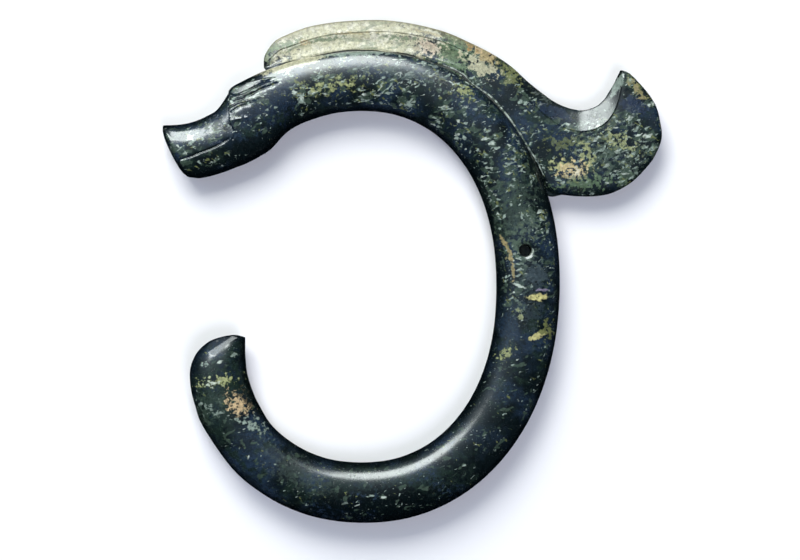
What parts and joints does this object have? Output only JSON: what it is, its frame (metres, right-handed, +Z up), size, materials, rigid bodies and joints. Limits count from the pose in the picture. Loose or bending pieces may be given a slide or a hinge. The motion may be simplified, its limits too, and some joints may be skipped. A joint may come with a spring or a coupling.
{
  "type": "jade c-shaped dragon",
  "caption": "Coiled dragon carved from dark green jade, with a long snout, a flat curling mane along its back and a hole to hang it by.",
  "frame": {"origin": "under the middle of the outline, on the surface that the dragon lies on", "axes": "+X from the snout towards the curl of the mane, +Y towards the top of the mane, +Z up, out of the upper flank"},
  "size_m": [0.2586, 0.2602, 0.0245],
  "materials": {
    "jade": "polished dark blue-green jade with pale flecks and veins"
  },
  "bodies": {
    "root": {"jade_dragon": "jade"}
  },
  "joints": []
}
